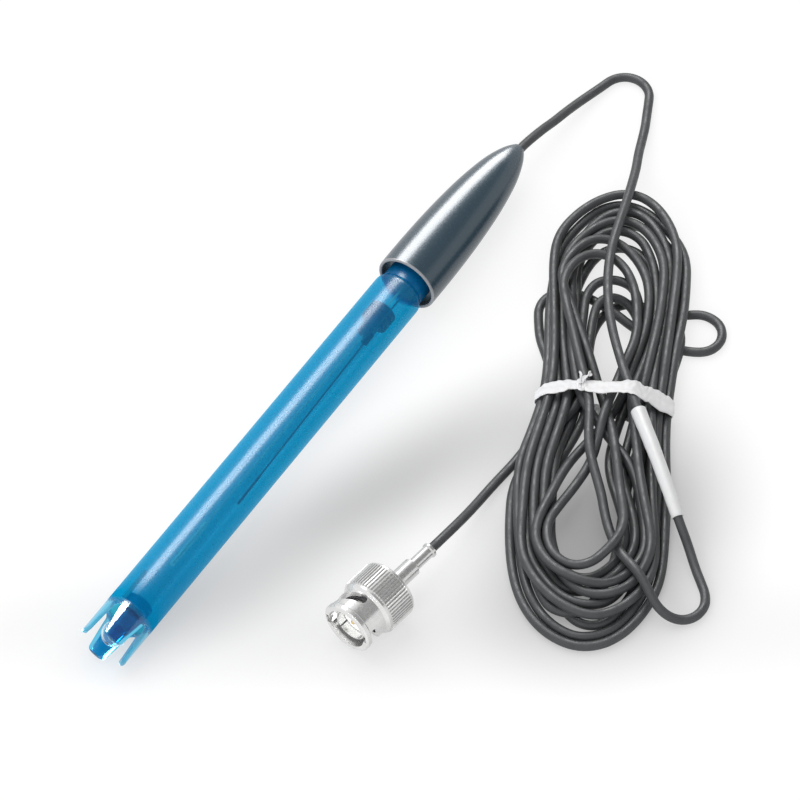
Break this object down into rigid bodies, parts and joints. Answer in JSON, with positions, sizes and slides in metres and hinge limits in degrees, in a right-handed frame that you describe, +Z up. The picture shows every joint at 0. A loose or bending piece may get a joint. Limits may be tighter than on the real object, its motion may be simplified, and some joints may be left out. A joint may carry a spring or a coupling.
{
  "type": "ph electrode",
  "caption": "Combination pH electrode: clear blue tube with a fingered crown round a glass bulb, grey cap, hanked cable with a bayonet plug.",
  "frame": {"origin": "on the surface that the electrode lies on, under the middle of its body and cap", "axes": "+X from the crown to the cap, +Z up, -Y towards the hank of cable"},
  "size_m": [0.2071, 0.1099, 0.0151],
  "materials": {
    "tube": "clear blue moulded plastic, polished",
    "glass": "thin blown glass",
    "rubber": "dark soft rubber",
    "ceramic": "porous, unglazed",
    "silver": "silver wire, dulled",
    "resin": "cast resin",
    "cap": "slate grey moulded plastic, glossy",
    "cable": "dark grey soft jacket, satin",
    "sleeve": "off-white heat-shrunk sleeve",
    "tie": "white soft strip, crinkled",
    "nickel": "bright nickel plating",
    "insulator": "white fluoropolymer",
    "gilt": "thin gold plating",
    "gasket": "dark grey silicone",
    "spring": "spring steel"
  },
  "bodies": {
    "root": {"body_tube": "tube", "glass_stem": "glass", "stem_seal": "rubber", "reference_junction": "ceramic", "stem_stopper": "rubber", "inner_wire": "silver", "reference_wire": "silver", "wire_bead": "rubber", "neck_plug": "rubber", "potting": "resin", "cap": "cap", "cord_lead": "cable", "cord_tail": "cable", "cord_hank": "cable", "marker_sleeve": "sleeve", "twist_tie": "tie", "connector_body": "nickel", "outer_contact": "nickel", "insulator": "insulator", "centre_pin": "gilt", "gasket": "gasket", "wave_washer": "spring", "retaining_ring": "spring", "crimp_ferrule": "nickel"},
    "thrust_washer": {"thrust_washer": "spring"},
    "coupling_nut": {"coupling_nut": "nickel"}
  },
  "joints": [
    {"name": "nut_slide", "type": "slide", "parent": "root", "child": "thrust_washer", "axis": [-0.9914, 0.1305, 0], "range_m": [0, 0.0008], "stiffness_N_per_m": 1500, "springref_m": -0.0002, "deforming": ["wave_washer"]},
    {"name": "nut_turn", "type": "hinge", "parent": "thrust_washer", "child": "coupling_nut", "pos_m": [-0.04446, -0.04281, 0.00715], "axis": [-0.9914, 0.1305, 0], "continuous": true}
  ]
}
